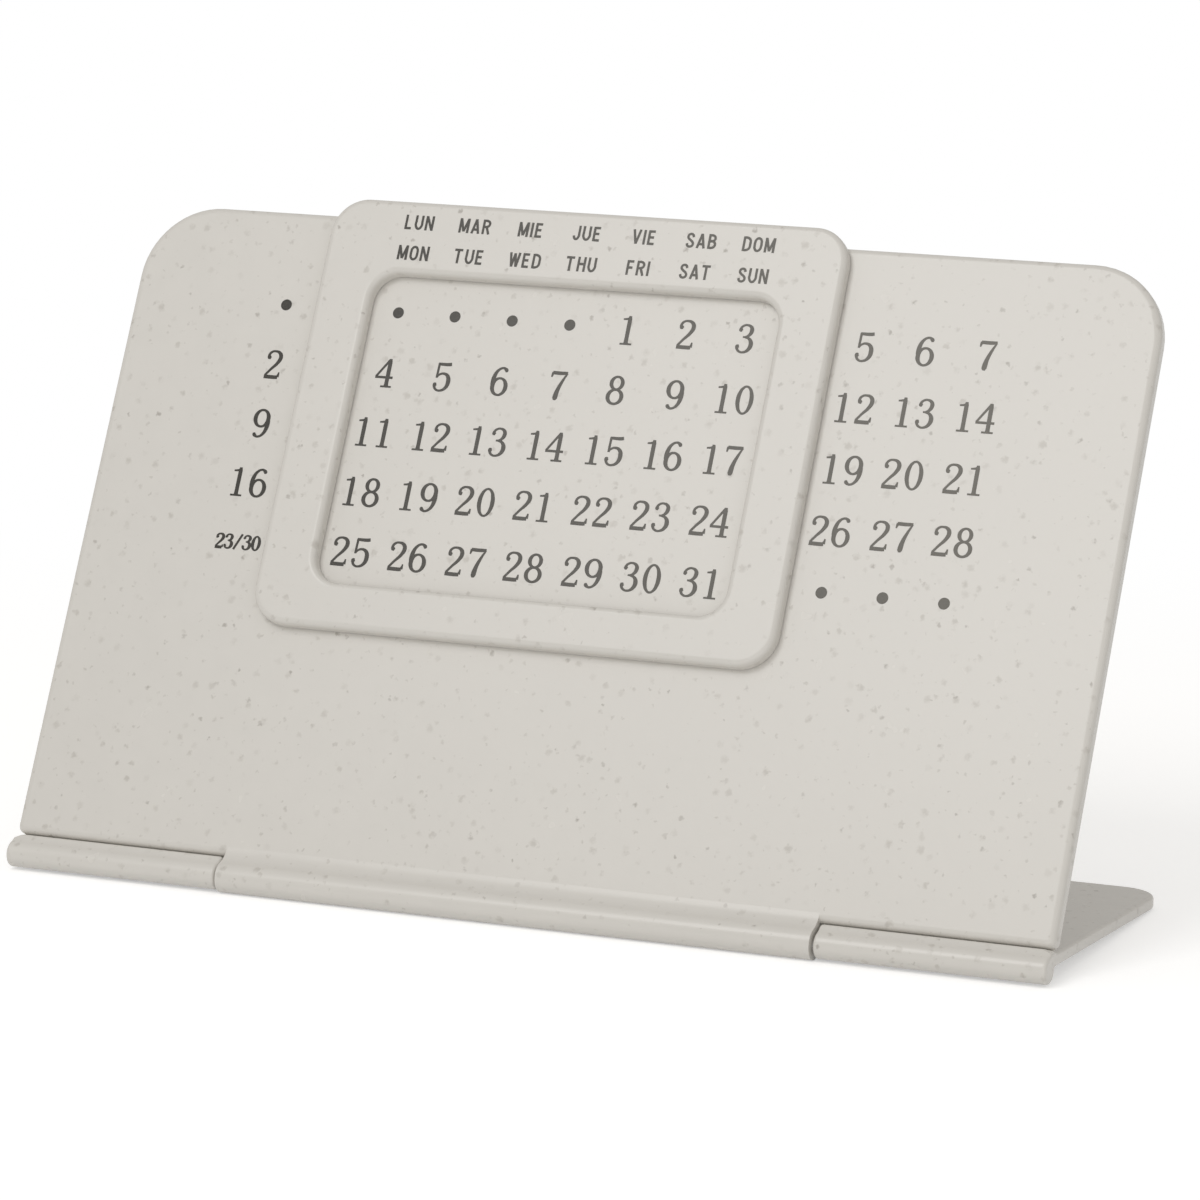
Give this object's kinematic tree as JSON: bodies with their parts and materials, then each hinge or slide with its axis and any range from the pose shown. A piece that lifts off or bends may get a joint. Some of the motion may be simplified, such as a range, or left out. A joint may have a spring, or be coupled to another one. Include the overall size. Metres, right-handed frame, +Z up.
{
  "type": "perpetual desk calendar",
  "caption": "Folding desk calendar: a leaning dated panel hinged to a thin base plate, with a window frame that hangs over its top edge and slides sideways to show one month.",
  "frame": {"origin": "on the table, under the middle of the standing object's bounding box", "axes": "+X along the panel to the reader's right, +Y away from the reader, +Z up"},
  "size_m": [0.16, 0.0538, 0.0949],
  "materials": {
    "panel_plastic": "satin, speckled with plant fibre",
    "base_plastic": "satin, speckled with plant fibre",
    "slider_plastic": "satin, speckled with plant fibre",
    "pin_steel": "drawn wire"
  },
  "bodies": {
    "base": {"base_plate": "base_plastic"},
    "panel": {"front_panel": "panel_plastic", "hinge_pin_left": "pin_steel", "hinge_pin_right": "pin_steel"},
    "window": {"slider": "slider_plastic"}
  },
  "joints": [
    {"name": "fold", "type": "hinge", "parent": "base", "child": "panel", "pos_m": [0, -0.0247, 0.00225], "axis": [1, 0, 0], "range_deg": [0, 115]},
    {"name": "window_slide", "type": "slide", "parent": "panel", "child": "window", "axis": [1, 0, 0], "range_m": [-0.019, 0.0359]}
  ]
}
